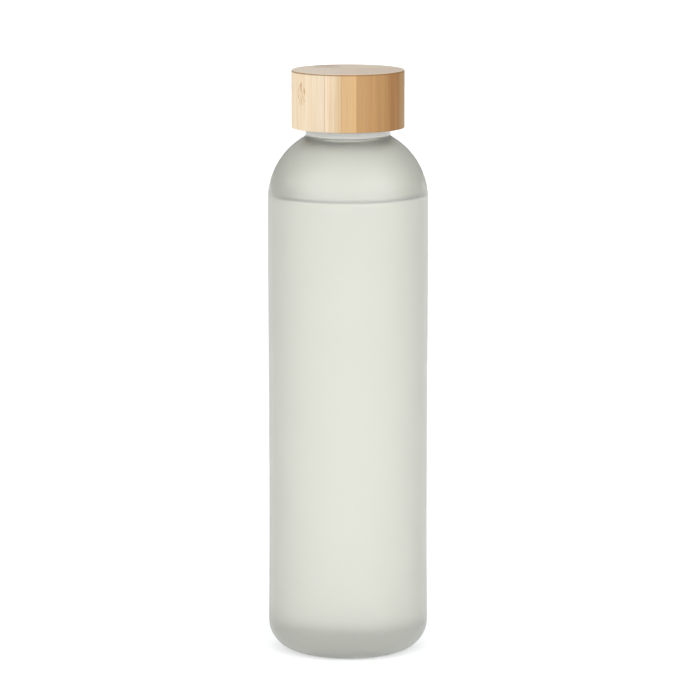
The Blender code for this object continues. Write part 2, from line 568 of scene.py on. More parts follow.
@dataclass(frozen=True)
class MattSilicone:
    """Food-grade silicone, compression moulded: soft, cloudy white and dull."""

    name: str = "clear_silicone"
    tone: str = "#e6e7e3"
    cloud_tone: str = "#f4f4f1"
    cloud_width: float = 4.0 * MM
    milkiness: float = 0.4  # share of light that goes under the surface
    milk_depth: float = 2.0 * MM
    roughness: float = 0.5

    def material(self) -> Material:
        """Return the washer's material."""
        values = {
            "Roughness": self.roughness,
            "Subsurface Weight": self.milkiness,
            "Subsurface Scale": self.milk_depth,
        }
        material, tree, shader = new_material(self.name, values)
        spot = add_node(tree, "ShaderNodeTexCoord").outputs["Object"]
        noise = {"Vector": spot, "Scale": 1 / self.cloud_width}
        cloud = add_node(tree, "ShaderNodeTexNoise", noise)
        tones = {"A": linear(self.tone), "B": linear(self.cloud_tone)}
        tint = add_node(
            tree, "ShaderNodeMix", {"Factor": cloud.outputs[0], **tones}, data_type="RGBA"
        )
        tree.links.new(tint.outputs["Result"], shader.inputs["Base Color"])
        return material


@dataclass(frozen=True)
class StudioPaper:
    """Matt white background paper, with some light through it from below."""

    name: str = "studio_paper"
    tone: str = "#f7f7f7"
    roughness: float = 0.9
    glow: float = 0.36
    glow_tone: str = "#f6f8fc"

    def material(self) -> Material:
        """Return the floor's material."""
        values = {
            "Base Color": linear(self.tone),
            "Roughness": self.roughness,
            "Emission Color": linear(self.glow_tone),
            "Emission Strength": self.glow,
        }
        return new_material(self.name, values)[0]


# ---------------------------------------------------------------- turned shapes


def arc(
    centre: Point,
    radius: float,
    start_deg: float,
    end_deg: float,
    steps: int,
) -> list[Point]:
    """Lay points along an arc of a turned outline.

    Args:
        centre: The arc's centre.
        radius: Its radius.
        start_deg: Where it starts; 0 degrees points outwards and 90 up.
        end_deg: Where it ends.
        steps: How many straight pieces stand for it.

    Returns:
        The points from start to end.
    """
    angles = [
        math.radians(start_deg + (end_deg - start_deg) * step / steps) for step in range(steps + 1)
    ]
    return [(centre[0] + radius * math.cos(a), centre[1] + radius * math.sin(a)) for a in angles]


def swell(edge_radius: float, edge_height: float, middle_height: float, steps: int) -> list[Point]:
    """Lay points on a smooth rise from a ring to the axis.

    Args:
        edge_radius: The ring's radius.
        edge_height: The ring's height.
        middle_height: The height on the axis.
        steps: How many pieces stand for it.

    Returns:
        The points from the axis outwards.
    """
    shares = [step / steps for step in range(steps + 1)]
    rise = middle_height - edge_height
    return [(edge_radius * s, edge_height + rise * (1 + math.cos(math.pi * s)) / 2) for s in shares]


def evenly(start: Point, end: Point, steps: int) -> list[Point]:
    """Lay points between two others, without either of them.

    Args:
        start: The point before the first.
        end: The point after the last.
        steps: How many pieces the line is cut into.

    Returns:
        The points in between.
    """
    shares = [step / steps for step in range(1, steps)]
    across, up = end[0] - start[0], end[1] - start[1]
    return [(start[0] + across * share, start[1] + up * share) for share in shares]


def turned_mesh(
    name: str,
    outline: Sequence[Point],
    segments: int,
    closed: bool,
    slot_of: Callable[[int], int] = lambda row: 0,
) -> Piece:
    """Turn an outline about Z into a closed mesh whose faces point outwards.

    Args:
        name: The piece's name.
        outline: Points that run up the outside and down the inside, seen at +X. An open
            outline starts and ends on the axis; a closed one makes a ring.
        segments: Facets round the axis.
        closed: Whether the last point joins the first.
        slot_of: The material slot of each row of faces, by the row's number.

    Returns:
        The new object, at the origin.
    """
    vertices: list[tuple[float, float, float]] = []
    rings: list[list[int]] = []
    for radius, height in outline:
        first = len(vertices)
        if radius < ON_AXIS:
            vertices.append((0.0, 0.0, height))
            rings.append([first] * segments)
            continue
        for segment in range(segments):
            angle = TURN * segment / segments
            vertices.append((radius * math.cos(angle), radius * math.sin(angle), height))
        rings.append(list(range(first, first + segments)))
    pairs = list(zip(rings, rings[1:]))
    if closed:
        pairs.append((rings[-1], rings[0]))
    faces: list[tuple[int, ...]] = []
    slots: list[int] = []
    for row, (lower, upper) in enumerate(pairs):
        for segment in range(segments):
            after = (segment + 1) % segments
            corners = (lower[segment], lower[after], upper[after], upper[segment])
            faces.append(tuple(dict.fromkeys(corners)))
            slots.append(slot_of(row))
    mesh = bpy.data.meshes.new(name)
    mesh.from_pydata(vertices, [], faces)
    mesh.polygons.foreach_set("material_index", slots)
    mesh.shade_smooth()
    mesh.update()
    made = bpy.data.objects.new(name, mesh)
    bpy.context.scene.collection.objects.link(made)
    return made


def dress(piece: Piece, materials: Sequence[Material]) -> None:
    """Give a piece its materials, in the order of its slots.

    Args:
        piece: The piece.
        materials: One material for each slot.
    """
    piece.data.materials.clear()
    for material in materials:
        piece.data.materials.append(material)


def hang(piece: Piece, body: Body, node: str | None) -> None:
    """Hang a finished piece on its body and say what it stands for.

    Args:
        piece: The finished piece, at the origin.
        body: The body that carries it.
        node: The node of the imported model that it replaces, if any.
    """
    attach(piece, body.value)
    if node is not None:
        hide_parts(node)
    LOG.info("%s rides on %s", piece.name, body.value)


# ---------------------------------------------------------------- geometry nodes


def new_geometry_tree(name: str, sizes: dict[str, str]) -> Tree:
    """Make an empty geometry tree with named inputs and one geometry output.

    Args:
        name: The tree's name.
        sizes: For each input after Geometry, its socket type.

    Returns:
        The tree.
    """
    tree = bpy.data.node_groups.new(name, "GeometryNodeTree")
    tree.interface.new_socket("Geometry", in_out="OUTPUT", socket_type="NodeSocketGeometry")
    tree.interface.new_socket("Geometry", in_out="INPUT", socket_type="NodeSocketGeometry")
    for label, kind in sizes.items():
        tree.interface.new_socket(label, in_out="INPUT", socket_type=kind)
    return tree


def end_geometry_tree(
    tree: Tree,
    geometry: Socket,
    material: Socket,
    where: Socket | bool = True,
) -> None:
    """Close a geometry tree: realise its instances, set the material and output it.

    Args:
        tree: The tree.
        geometry: What it has made.
        material: The material input.
        where: Which faces take the material.
    """
    real = add_node(tree, "GeometryNodeRealizeInstances", {"Geometry": geometry})
    dressed = add_node(
        tree,
        "GeometryNodeSetMaterial",
        {"Geometry": real.outputs[0], "Selection": where, "Material": material},
    )
    add_node(tree, "NodeGroupOutput", {"Geometry": dressed.outputs[0]})


def apply_tree(
    piece: Piece, tree: Tree, values: dict[str, object]
) -> None:
    """Run a geometry tree on a piece and keep the result as its plain mesh.

    Args:
        piece: The piece; its mesh is the tree's input.
        tree: The geometry tree.
        values: A value for each named input.
    """
    modifier = piece.modifiers.new(tree.name, "NODES")
    modifier.node_group = tree
    for item in tree.interface.items_tree:
        if item.in_out == "INPUT" and item.name in values:
            modifier[item.identifier] = values[item.name]
    graph = bpy.context.evaluated_depsgraph_get()
    graph.update()
    made = bpy.data.meshes.new_from_object(piece.evaluated_get(graph), depsgraph=graph)
    piece.modifiers.remove(modifier)
    spent = piece.data
    piece.data = made
    bpy.data.meshes.remove(spent)
    made.name = piece.name


@dataclass(frozen=True)
class ScrewThread:
    """A single-start right-hand ridge on a turned wall."""

    start: float  # height of the ridge's middle at its lower end, on +X
    first_turn: float  # where it starts, in turns from +X
    turns: float
    wall: float  # radius of the wall that bears it
    crest_radius: float
    base: float  # width at the wall
    crest: float  # width at the crest
    pitch: float = THREAD_PITCH
    run_out: float = 0.12  # turns over which it grows from the wall

    def raise_on(
        self, piece: Piece, material: Material, tree: Tree
    ) -> None:
        """Raise the ridge on a piece's wall.

        Args:
            piece: The piece with the wall.
            material: The material of the ridge.
            tree: The tree that thread_tree() makes.
        """
        apply_tree(
            piece,
            tree,
            {
                "Start Height": self.start - self.pitch * self.first_turn,
                "First Turn": self.first_turn,
                "Turns": self.turns,
                "Pitch": self.pitch,
                "Wall Radius": self.wall,
                "Depth": self.crest_radius - self.wall,
                "Base Width": self.base,
                "Crest Width": self.crest,
                "Run Out": self.run_out,
                "Material": material,
            },
        )


def place_round_axis(tree: Tree) -> dict[str, Socket]:
    """Read where each point lies round the axis.

    Args:
        tree: The geometry tree.

    Returns:
        The point's height, radius and angle, and its direction away from the axis.
    """
    spot = add_node(tree, "GeometryNodeInputPosition").outputs[0]
    axes = add_node(tree, "ShaderNodeSeparateXYZ", {0: spot}).outputs
    flat = add_node(tree, "ShaderNodeCombineXYZ", {"X": axes["X"], "Y": axes["Y"]}).outputs[0]
    radius = add_node(tree, "ShaderNodeVectorMath", {0: flat}, operation="LENGTH")
    outwards = add_node(tree, "ShaderNodeVectorMath", {0: flat}, operation="NORMALIZE")
    angle = add_node(tree, "ShaderNodeMath", {0: axes["Y"], 1: axes["X"]}, operation="ARCTAN2")
    return {
        "height": axes["Z"],
        "radius": radius.outputs["Value"],
        "angle": angle.outputs[0],
        "outwards": outwards.outputs[0],
    }


def thread_tree() -> Tree:
    """Build the tree that raises a helical ridge on a turned wall.

    Every point on the wall finds the ridge's nearest turn at its own angle, and moves
    along its radius by how near the ridge's middle it lies.

    Returns:
        The tree.
    """
    number = "NodeSocketFloat"
    tree = new_geometry_tree(
        "screw_thread",
        {
            "Start Height": number,
            "First Turn": number,
            "Turns": number,
            "Pitch": number,
            "Wall Radius": number,
            "Depth": number,
            "Base Width": number,
            "Crest Width": number,
            "Run Out": number,
            "Material": "NodeSocketMaterial",
        },
    )
    known = {socket.name: socket for socket in add_node(tree, "NodeGroupInput").outputs}
    known |= place_round_axis(tree)
    for result, operation, *terms in (
        ("round turn", "DIVIDE", "angle", TURN),
        ("above start", "SUBTRACT", "height", "Start Height"),
        ("in turns", "DIVIDE", "above start", "Pitch"),
        ("turns below", "SUBTRACT", "in turns", "round turn"),
        ("nearest turn", "ROUND", "turns below"),
        ("along", "ADD", "nearest turn", "round turn"),
        ("off turns", "SUBTRACT", "in turns", "along"),
        ("off height", "MULTIPLY", "off turns", "Pitch"),
        ("distance", "ABSOLUTE", "off height"),
        ("half base", "MULTIPLY", "Base Width", 0.5),
        ("half crest", "MULTIPLY", "Crest Width", 0.5),
        ("from start", "SUBTRACT", "along", "First Turn"),
        ("to end", "SUBTRACT", "Turns", "from start"),
        ("nearer end", "MINIMUM", "from start", "to end"),
        ("off wall", "SUBTRACT", "radius", "Wall Radius"),
        ("wall distance", "ABSOLUTE", "off wall"),
        ("on wall", "LESS_THAN", "wall distance", WALL_TOLERANCE),
    ):
        inputs = {place: known.get(term, term) for place, term in enumerate(terms)}
        known[result] = add_node(tree, "ShaderNodeMath", inputs, operation=operation).outputs[0]
    for result, value, low, high in (
        ("ridge", "distance", "half base", "half crest"),
        ("grown", "nearer end", 0.0, "Run Out"),
    ):
        limits = {"From Min": known.get(low, low), "From Max": known.get(high, high)}
        known[result] = add_node(
            tree,
            "ShaderNodeMapRange",
            {"Value": known[value], **limits},
            interpolation_type="SMOOTHSTEP",
        ).outputs["Result"]
    share = add_node(
        tree, "ShaderNodeMath", {0: known["ridge"], 1: known["grown"]}, operation="MULTIPLY"
    )
    raised = add_node(
        tree, "ShaderNodeMath", {0: share.outputs[0], 1: known["Depth"]}, operation="MULTIPLY"
    )
    offset = add_node(
        tree,
        "ShaderNodeVectorMath",
        {0: known["outwards"], "Scale": raised.outputs[0]},
        operation="SCALE",
    )
    moved = add_node(
        tree,
        "GeometryNodeSetPosition",
        {
            "Geometry": known["Geometry"],
            "Selection": known["on wall"],
            "Offset": offset.outputs[0],
        },
    )
    end_geometry_tree(tree, moved.outputs[0], known["Material"], known["on wall"])
    return tree


def base_grooves_tree() -> Tree:
    """Build the tree that presses short radial grooves into a ring under a turned piece.

    Every point low on the ring rises by how near the middle of a groove its angle lies.

    Returns:
        The tree.
    """
    number = "NodeSocketFloat"
    tree = new_geometry_tree(
        "base_grooves",
        {
            "Count": number,
            "Inner Radius": number,
            "Outer Radius": number,
            "Depth": number,
            "Below": number,
            "Material": "NodeSocketMaterial",
        },
    )
    known = {socket.name: socket for socket in add_node(tree, "NodeGroupInput").outputs}
    known |= place_round_axis(tree)
    for result, operation, *terms in (
        ("waves", "MULTIPLY", "angle", "Count"),
        ("wave", "COSINE", "waves"),
        ("both radii", "ADD", "Inner Radius", "Outer Radius"),
        ("middle", "MULTIPLY", "both radii", 0.5),
        ("half width", "SUBTRACT", "Outer Radius", "middle"),
        ("off middle", "SUBTRACT", "radius", "middle"),
        ("distance", "ABSOLUTE", "off middle"),
        ("underneath", "LESS_THAN", "height", "Below"),
    ):
        inputs = {place: known.get(term, term) for place, term in enumerate(terms)}
        known[result] = add_node(tree, "ShaderNodeMath", inputs, operation=operation).outputs[0]
    groove = add_node(
        tree,
        "ShaderNodeMapRange",
        {"Value": known["wave"], "From Min": 0.0, "From Max": 1.0},
        interpolation_type="SMOOTHSTEP",
    ).outputs["Result"]
    inside = add_node(
        tree,
        "ShaderNodeMapRange",
        {"Value": known["distance"], "From Min": known["half width"], "From Max": 0.0},
        interpolation_type="SMOOTHSTEP",
    ).outputs["Result"]
    share = add_node(tree, "ShaderNodeMath", {0: groove, 1: inside}, operation="MULTIPLY")
    rise = add_node(
        tree, "ShaderNodeMath", {0: share.outputs[0], 1: known["Depth"]}, operation="MULTIPLY"
    )
    lift = add_node(tree, "ShaderNodeCombineXYZ", {"Z": rise.outputs[0]})
    moved = add_node(
        tree,
        "GeometryNodeSetPosition",
        {
            "Geometry": known["Geometry"],
            "Selection": known["underneath"],
            "Offset": lift.outputs[0],
        },
    )
    end_geometry_tree(tree, moved.outputs[0], known["Material"], known["underneath"])
    return tree


def swept_ring_tree() -> Tree:
    """Build the tree that sweeps a rounded rectangle round the axis.

    Returns:
        The tree.
    """
    number = "NodeSocketFloat"
    tree = new_geometry_tree(
        "swept_ring",
        {
            "Mean Radius": number,
            "Width": number,
            "Thickness": number,
            "Edge Round": number,
            "Height": number,
            "Segments": "NodeSocketInt",
            "Round Steps": "NodeSocketInt",
            "Material": "NodeSocketMaterial",
        },
    )
    given = add_node(tree, "NodeGroupInput").outputs
    path = add_node(
        tree,
        "GeometryNodeCurvePrimitiveCircle",
        {"Resolution": given["Segments"], "Radius": given["Mean Radius"]},
    )
    section = add_node(
        tree,
        "GeometryNodeCurvePrimitiveQuadrilateral",
        {"Width": given["Width"], "Height": given["Thickness"]},
    )
    rounded = add_node(
        tree,
        "GeometryNodeFilletCurve",
        {
            "Curve": section.outputs[0],
            "Radius": given["Edge Round"],
            "Count": given["Round Steps"],
        },
        mode="POLY",
    )
    swept = add_node(
        tree,
        "GeometryNodeCurveToMesh",
        {"Curve": path.outputs[0], "Profile Curve": rounded.outputs[0]},
    )
    lift = add_node(tree, "ShaderNodeCombineXYZ", {"Z": given["Height"]})
    raised = add_node(
        tree,
        "GeometryNodeTransform",
        {"Geometry": swept.outputs[0], "Translation": lift.outputs[0]},
    )
    end_geometry_tree(tree, raised.outputs[0], given["Material"])
    return tree


def ring_of_ribs_tree() -> Tree:
    """Build the tree that stands small upright bars round a circle.

    Returns:
        The tree.
    """
    number = "NodeSocketFloat"
    tree = new_geometry_tree(
        "ring_of_ribs",
        {
            "Count": "NodeSocketInt",
            "Ring Radius": number,
            "Rib Radius": number,
            "Rib Height": number,
            "Rib Sides": "NodeSocketInt",
            "Height": number,
            "Material": "NodeSocketMaterial",
        },
    )
    given = add_node(tree, "NodeGroupInput").outputs
    ring = add_node(
        tree, "GeometryNodeMeshCircle", {"Vertices": given["Count"], "Radius": given["Ring Radius"]}
    )
    bar = add_node(
        tree,
        "GeometryNodeMeshCylinder",
        {
            "Vertices": given["Rib Sides"],
            "Side Segments": 1,
            "Radius": given["Rib Radius"],
            "Depth": given["Rib Height"],
        },
    )
    ribs = add_node(
        tree,
        "GeometryNodeInstanceOnPoints",
        {"Points": ring.outputs[0], "Instance": bar.outputs[0]},
    )
    lift = add_node(tree, "ShaderNodeCombineXYZ", {"Z": given["Height"]})
    raised = add_node(
        tree,
        "GeometryNodeTransform",
        {"Geometry": ribs.outputs[0], "Translation": lift.outputs[0]},
    )
    end_geometry_tree(tree, raised.outputs[0], given["Material"])
    return tree


# ---------------------------------------------------------------- the bottle


@dataclass
class GlassBottle:
    """The blown glass body, etched outside and fire-smooth inside."""

    body_radius: float
    rim_height: float
    etched: Material
    smooth: Material
    neck_etched: Material
    segments: int = 192
    wall: float = 2.5 * MM
    neck_root: float = 1.5 * MM  # how much thicker the shoulder grows towards the neck
    root_fade: float = 8.0  # the higher, the closer to the neck that stays
    heel_radius: float = 12.0 * MM
    bearing_width: float = 2.0 * MM
    groove_count: float = 32.0  # short radial grooves round the bearing ring
    groove_depth: float = 0.25 * MM
    groove_reach: float = 0.1 * MM  # only points lower than this are pressed in
    push_up: float = 4.5 * MM
    floor_thickness: float = 4.0 * MM
    floor_slope_from: float = 19.5 * MM
    heel_floor: float = 4.6 * MM
    waist_depth: float = 0.26 * MM  # how far the body draws in below its middle
    waist_skew: float = 0.62  # 1 puts the waist half-way up, less puts it lower
    waist_steps: int = 48
    shoulder_steps: int = 40
    bead_steps: int = 10  # for each half of the bead
    shoulder_height: float = 185.2 * MM
    shoulder_radius: float = 29.5 * MM
    neck_radius: float = 17.2 * MM
    neck_fillet: float = 1.2 * MM
    bore_radius: float = 14.2 * MM
    rim_round: float = 0.9 * MM
    bead_height: float = 216.4 * MM
    bead_half_height: float = 1.0 * MM
    bead_radius: float = 18.4 * MM
    neck_from: float = 210.1 * MM  # above this the etch is denser
    thread: ScrewThread = field(init=False)

    def __post_init__(self) -> None:
        """Lay out the thread on the neck."""
        self.thread = ScrewThread(
            start=self.rim_height - THREAD_DROP,
            first_turn=0.0,
            turns=1.6,
            wall=self.neck_radius,
            crest_radius=18.5 * MM,
            base=2.2 * MM,
            crest=0.5 * MM,
        )

    @property
    def bearing_outer(self) -> float:
        """Outer radius of the ring that the bottle stands on."""
        return self.body_radius - self.heel_radius

    @property
    def shoulder_centre(self) -> Point:
        """Centre of the shoulder's arcs."""
        return (self.body_radius - self.shoulder_radius, self.shoulder_height)

    def outside(self) -> list[Point]:
        """Outline of the outside, from the base's centre to the rim."""
        bearing_inner = self.bearing_outer - self.bearing_width
        heel_centre = (self.bearing_outer, self.heel_radius)
        points = swell(bearing_inner, 0.0, self.push_up, steps=16)
        points += evenly((bearing_inner, 0.0), (self.bearing_outer, 0.0), steps=8)
        points += arc(heel_centre, self.heel_radius, -90, 0, steps=24)
        for step in range(1, self.waist_steps):
            share = step / self.waist_steps
            draw_in = self.waist_depth * math.sin(math.pi * share**self.waist_skew) ** 2
            height = self.heel_radius + (self.shoulder_height - self.heel_radius) * share
            points.append((self.body_radius - draw_in, height))
        fillet_radius = self.neck_radius + self.neck_fillet
        both = self.shoulder_radius + self.neck_fillet
        reach = math.acos((fillet_radius - self.shoulder_centre[0]) / both)
        reach_deg = math.degrees(reach)
        fillet = (fillet_radius, self.shoulder_height + both * math.sin(reach))
        points += arc(
            self.shoulder_centre, self.shoulder_radius, 0, reach_deg, self.shoulder_steps
        )
        points += arc(fillet, self.neck_fillet, 180 + reach_deg, 180, steps=8)[1:]
        for step in range(-self.bead_steps, self.bead_steps + 1):
            share = step / self.bead_steps
            bulge = (self.bead_radius - self.neck_radius) * math.sqrt(1 - share * share)
            height = self.bead_height + self.bead_half_height * share
            points.append((self.neck_radius + bulge, height))
        thread_top = self.rim_height - self.rim_round
        points += evenly(points[-1], (self.neck_radius, thread_top), steps=90)
        lip = (self.neck_radius - self.rim_round, thread_top)
        points += arc(lip, self.rim_round, 0, 90, steps=8)
        return points

    def inside(self, skin: float = 0.0) -> list[Point]:
        """Outline of the inside, from the rim down to the floor's centre.

        Args:
            skin: How far the outline lies outside the glass's inner face.

        Returns:
            The points.
        """
        centre = self.shoulder_centre
        wide = self.shoulder_radius - self.wall + skin
        bore_reach = math.acos((self.bore_radius - centre[0]) / wide)
        lip = (self.bore_radius + self.rim_round, self.rim_height - self.rim_round)
        points = arc(lip, self.rim_round, 90, 180, steps=8)
        for step in range(self.shoulder_steps + 1):
            share = 1 - step / self.shoulder_steps
            reach = wide - self.neck_root * share**self.root_fade
            angle = bore_reach * share
            across, up = reach * math.cos(angle), reach * math.sin(angle)
            points.append((centre[0] + across, centre[1] + up))
        heel_inner = self.body_radius - self.wall - self.floor_slope_from
        heel_centre = (self.floor_slope_from, self.heel_floor + heel_inner)
        points += arc(heel_centre, heel_inner + skin, 0, -90, steps=20)
        floor = swell(
            self.floor_slope_from,
            self.heel_floor - skin,
            self.push_up + self.floor_thickness - skin,
            steps=14,
        )
        points += floor[-2::-1]
        return points

    def build(self, thread: Tree, grooves: Tree) -> None:
        """Make the glass with its thread and the grooves it stands on.

        Args:
            thread: The tree that raises threads.
            grooves: The tree that presses grooves into the base.
        """
        outer = self.outside()
        etched_rows = len(outer) - 1
        neck_row = next(row for row, point in enumerate(outer) if point[1] > self.neck_from)
        bottle = turned_mesh(
            "frosted_bottle",
            outer + self.inside(),
            self.segments,
            closed=False,
            slot_of=lambda row: 1 if row >= etched_rows else 2 if row >= neck_row else 0,
        )
        dress(bottle, (self.etched, self.smooth, self.neck_etched))
        apply_tree(
            bottle,
            grooves,
            {
                "Count": self.groove_count,
                "Inner Radius": self.bearing_outer - self.bearing_width,
                "Outer Radius": self.bearing_outer,
                "Depth": self.groove_depth,
                "Below": self.groove_reach,
                "Material": self.etched,
            },
        )
        self.thread.raise_on(bottle, self.neck_etched, thread)
        hang(bottle, Body.BOTTLE, "glass_bottle")


@dataclass
class WaterFill:
    """The half litre of water in the bottle, with its surface drawn up at the glass."""

    bottle: GlassBottle
    finish: Material
    level: float = 186.2 * MM
    climb: float = 2.2 * MM  # how far it climbs the glass
    climb_reach: float = 1.5 * MM  # how fast the climb fades away from the glass
    skin: float = 0.1 * MM  # lies in the glass, so that no film of air shows between
    surface_steps: int = 60

    def build(self) -> None:
        """Make the water, which rides on the bottle."""
        top_of_wall = self.level + self.climb
        wall = [point for point in self.bottle.inside(self.skin) if point[1] < top_of_wall]
        wide = self.bottle.shoulder_radius - self.bottle.wall + self.skin
        rise = (top_of_wall - self.bottle.shoulder_height) / wide
        edge_radius = self.bottle.shoulder_centre[0] + wide * math.sqrt(1 - rise**2)
        surface = []
        for step in range(self.surface_steps + 1):
            radius = edge_radius * (1 - step / self.surface_steps)
            lift = self.climb * math.exp((radius - edge_radius) / self.climb_reach)
            surface.append((radius, self.level + lift))
        outline = list(reversed(wall)) + surface
        water = turned_mesh("water_fill", outline, self.bottle.segments, closed=False)
        dress(water, (self.finish,))
        hang(water, Body.BOTTLE, None)


# ---------------------------------------------------------------- the lid


@dataclass
class BambooLid:
    """The turned bamboo cup that covers the insert."""

    radius: float
    bottom: float
    top: float
    finish: Material
    segments: int = 192
    top_round: float = 0.45 * MM
    bottom_round: float = 0.3 * MM
    crown: float = 4.4 * MM  # thickness over the insert
    socket_radius: float = 20.65 * MM
    corner_edge: float = 0.02 * MM  # narrow rows that keep the inner corner's shading crisp

    def build(self) -> None:
        """Make the bamboo cup, which rides on the lid."""
        ceiling = self.top - self.crown
        bottom = self.bottom + self.bottom_round
        top = self.top - self.top_round
        socket = self.socket_radius
        outline = [(0.0, ceiling)]
        outline += evenly((0.0, ceiling), (socket, ceiling), steps=4)
        outline += [(socket - self.corner_edge, ceiling), (socket, ceiling - self.corner_edge)]
        for centre, start_deg in (
            (socket + self.bottom_round, 180),
            (self.radius - self.bottom_round, 270),
        ):
            outline += arc(
                (centre, bottom), self.bottom_round, start_deg, start_deg + 90, steps=6
            )
        outline += arc((self.radius - self.top_round, top), self.top_round, 0, 90, steps=10)
        outline += evenly((self.radius - self.top_round, self.top), (0.0, self.top), steps=6)
        outline += [(0.0, self.top)]
        lid = turned_mesh("bamboo_cap", outline, self.segments, closed=False)
        dress(lid, (self.finish,))
        hang(lid, Body.LID, "bamboo_lid")


@dataclass
class ThreadedInsert:
    """The white inner cap: disc, threaded skirt, locating ring and glue ribs."""

    rim_height: float
    top: float
    finish: Material
    segments: int = 192
    bottom_drop: float = 14.1 * MM  # below the rim
    inner_radius: float = 18.9 * MM
    outer_radius: float = 20.35 * MM
    edge_round: float = 0.5 * MM
    disc_under: float = 2.4 * MM  # above the rim
    locator_outer: float = 12.9 * MM
    locator_inner: float = 11.7 * MM
    locator_depth: float = 2.0 * MM
    lip: float = 0.25 * MM  # rounding of its thin lower edges
    rib_count: int = 48
    rib_sides: int = 8
    rib_radius: float = 0.32 * MM
    rib_height: float = 13.0 * MM
    rib_middle: float = 8.5 * MM  # above the skirt's lower edge
    rib_sink: float = 0.1 * MM  # how deep the ribs' middles lie in the skirt
    thread: ScrewThread = field(init=False)

    def __post_init__(self) -> None:
        """Lay out the thread under that of the glass."""
        first_turn = 0.15
        under_glass_ridge = 1.55 * MM
        self.thread = ScrewThread(
            start=self.rim_height - THREAD_DROP + first_turn * THREAD_PITCH - under_glass_ridge,
            first_turn=first_turn,
            turns=1.4,
            wall=self.inner_radius,
            crest_radius=17.7 * MM,
            base=1.7 * MM,
            crest=0.5 * MM,
        )

    def build(self, thread: Tree, ribs: Tree) -> None:
        """Make the insert and its ribs.

        Args:
            thread: The tree that raises threads.
            ribs: The tree that stands bars round a circle.
        """
        under = self.rim_height + self.disc_under
        tip = under - self.locator_depth
        bottom = self.rim_height - self.bottom_drop
        lip = self.lip
        outline = [(0.0, under)]
        outline += evenly((0.0, under), (self.locator_inner, under), steps=3)
        outline += [(self.locator_inner, under)]
        outline += arc((self.locator_inner + lip, tip + lip), lip, 180, 270, steps=3)
        outline += arc((self.locator_outer - lip, tip + lip), lip, 270, 360, steps=3)
        outline += [(self.locator_outer, under), (self.inner_radius - lip, under)]
        skirt = ((self.inner_radius, under), (self.inner_radius, bottom + lip))
        outline += evenly(*skirt, steps=110)
        outline += arc((self.inner_radius + lip, bottom + lip), lip, 180, 270, steps=3)
        outline += arc((self.outer_radius - lip, bottom + lip), lip, 270, 360, steps=3)
        corner = (self.outer_radius - self.edge_round, self.top - self.edge_round)
        outline += arc(corner, self.edge_round, 0, 90, steps=5)
        outline += [(0.0, self.top)]
        insert = turned_mesh("threaded_inner_cap", outline, self.segments, closed=False)
        dress(insert, (self.finish,))
        self.thread.raise_on(insert, self.finish, thread)
        hang(insert, Body.LID, "threaded_insert")
        bars = bpy.data.objects.new("insert_glue_ribs", bpy.data.meshes.new("insert_glue_ribs"))
        bpy.context.scene.collection.objects.link(bars)
        apply_tree(
            bars,
            ribs,
            {
                "Count": self.rib_count,
                "Ring Radius": self.outer_radius - self.rib_sink,
                "Rib Radius": self.rib_radius,
                "Rib Height": self.rib_height,
                "Rib Sides": self.rib_sides,
                "Height": bottom + self.rib_middle,
                "Material": self.finish,
            },
        )
        hang(bars, Body.LID, None)


@dataclass
class SealingWasher:
    """The silicone washer between the rim and the insert."""

    low: Vector
    high: Vector
    finish: Material
    inner_radius: float = 13.3 * MM
    edge_round: float = 0.35 * MM
    round_steps: int = 5
    segments: int = 160

    def build(self, ring: Tree) -> None:
        """Make the washer.

        Args:
            ring: The tree that sweeps a ring.
        """
        outer = self.high.x
        washer = bpy.data.objects.new("silicone_washer", bpy.data.meshes.new("silicone_washer"))
        bpy.context.scene.collection.objects.link(washer)
        apply_tree(
            washer,
            ring,
            {
                "Mean Radius": (outer + self.inner_radius) / 2,
                "Width": outer - self.inner_radius,
                "Thickness": self.high.z - self.low.z,
                "Edge Round": self.edge_round,
                "Height": (self.high.z + self.low.z) / 2,
                "Segments": self.segments,
                "Round Steps": self.round_steps,
                "Material": self.finish,
            },
        )
        hang(washer, Body.SEAL, "sealing_ring")


# ---------------------------------------------------------------- the studio


@dataclass(frozen=True)
class Softbox:
    """A wide soft light far away, whose brightness fades towards its edge."""

    name: str
    toward: tuple[float, float, float]  # from the bottle
    strength: float
    full_within: float  # degrees from its middle
    gone_beyond: float

    def shine(
        self, tree: Tree, direction: Socket
    ) -> Socket:
        """Work out how bright the light is in a direction.

        Args:
            tree: The world's tree.
            direction: The direction looked in.

        Returns:
            The brightness.
        """
        nearness = add_node(
            tree,
            "ShaderNodeVectorMath",
            {0: direction, 1: Vector(self.toward).normalized()},
            operation="DOT_PRODUCT",
        )
        glow = add_node(
            tree,
            "ShaderNodeMapRange",
            {
                "Value": nearness.outputs["Value"],
                "From Min": math.cos(math.radians(self.gone_beyond)),
                "From Max": math.cos(math.radians(self.full_within)),
                "To Max": self.strength,
            },
            interpolation_type="SMOOTHSTEP",
            label=self.name,
        )
        return glow.outputs["Result"]


